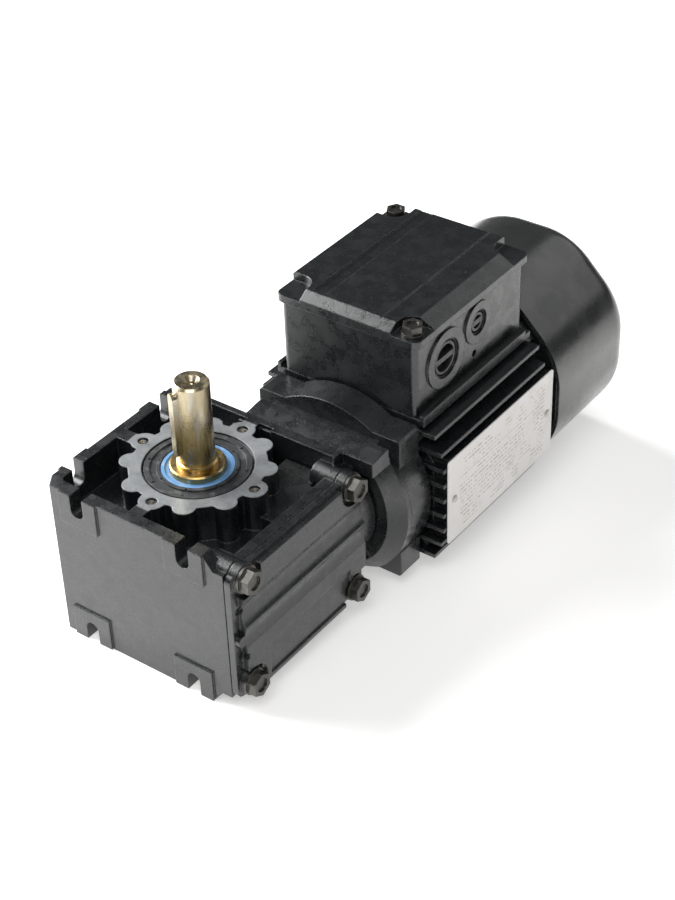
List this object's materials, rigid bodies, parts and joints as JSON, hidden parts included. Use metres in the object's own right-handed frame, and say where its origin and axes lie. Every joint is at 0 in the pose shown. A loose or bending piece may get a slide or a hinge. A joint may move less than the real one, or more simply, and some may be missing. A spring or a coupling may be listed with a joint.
{
  "type": "worm gearbox",
  "caption": "Right-angle worm gearmotor with an upright keyed output shaft, flange-faced housing, finned motor, terminal box and fan cowl.",
  "frame": {"origin": "on the output shaft's axis, on the machined output flange face", "axes": "+Z out along the output shaft, +Y from the gear housing along the motor, +X towards the bolted side cover"},
  "size_m": [0.1255, 0.291, 0.1417],
  "materials": {
    "cast_paint": "semi-gloss black paint over sand and die castings",
    "sheet_paint": "smooth satin black paint on pressed sheet steel",
    "gasket": "thin dark fibre gasket",
    "black_zinc": "dark zinc on steel fasteners",
    "seal_rubber": "black nitrile rubber on a steel case",
    "blue_rubber": "blue sealing lip",
    "shaft_steel": "ground bright steel with a brown oil film",
    "steel": "machined steel",
    "bearing_steel": "ground bearing steel",
    "bronze": "cast bronze",
    "lamination": "stacked steel laminations",
    "copper": "varnished copper winding",
    "fan_plastic": "moulded fan",
    "block_plastic": "moulded terminal block",
    "brass": "turned brass",
    "plug_plastic": "moulded black screw plug",
    "plate_metal": "printed metal plate"
  },
  "bodies": {
    "casing": {"gear_housing": "cast_paint", "gear_cover": "cast_paint", "cover_gasket": "gasket", "cover_bolts": "black_zinc", "output_seal": "seal_rubber", "seal_lip": "blue_rubber", "upper_bearing_outer": "bearing_steel", "lower_bearing_outer": "bearing_steel", "bearing_circlip": "black_zinc", "closing_cap": "seal_rubber", "input_seal": "seal_rubber", "flange_screws": "black_zinc", "drive_end_shield": "cast_paint", "stator_housing": "cast_paint", "stator_core": "lamination", "stator_windings": "copper", "drive_bearing_outer": "bearing_steel", "rear_bearing_outer": "bearing_steel", "wave_washer": "steel", "rear_end_shield": "cast_paint", "tie_rods": "black_zinc", "fan_cowl": "sheet_paint", "cowl_screws": "black_zinc", "terminal_box": "cast_paint", "box_gasket": "gasket", "box_screws": "black_zinc", "terminal_box_lid": "cast_paint", "lid_screws": "black_zinc", "terminal_block": "block_plastic", "terminal_studs": "brass", "earth_screw": "brass", "cable_plug_large": "plug_plastic", "cable_plug_small": "plug_plastic", "nameplate": "plate_metal", "nameplate_rivets": "steel"},
    "output": {"output_shaft": "shaft_steel", "shaft_key": "shaft_steel", "spacer_sleeve": "steel", "worm_wheel": "bronze", "wheel_key": "steel", "upper_bearing_inner": "bearing_steel", "lower_bearing_inner": "bearing_steel"},
    "rotor": {"worm": "steel", "rotor_shaft": "steel", "rotor_core": "lamination", "drive_bearing_inner": "bearing_steel", "rear_bearing_inner": "bearing_steel", "cooling_fan": "fan_plastic", "fan_clip": "steel"}
  },
  "joints": [
    {"name": "rotor_spin", "type": "hinge", "parent": "casing", "child": "rotor", "pos_m": [0.023, 0.12, -0.04], "axis": [0, 1, 0], "continuous": true},
    {"name": "output_spin", "type": "hinge", "parent": "casing", "child": "output", "pos_m": [0, 0, 0], "axis": [0, 0, 1], "continuous": true}
  ],
  "couplings": [
    {"joint": "output_spin", "follows": "rotor_spin", "ratio": -0.045455}
  ]
}
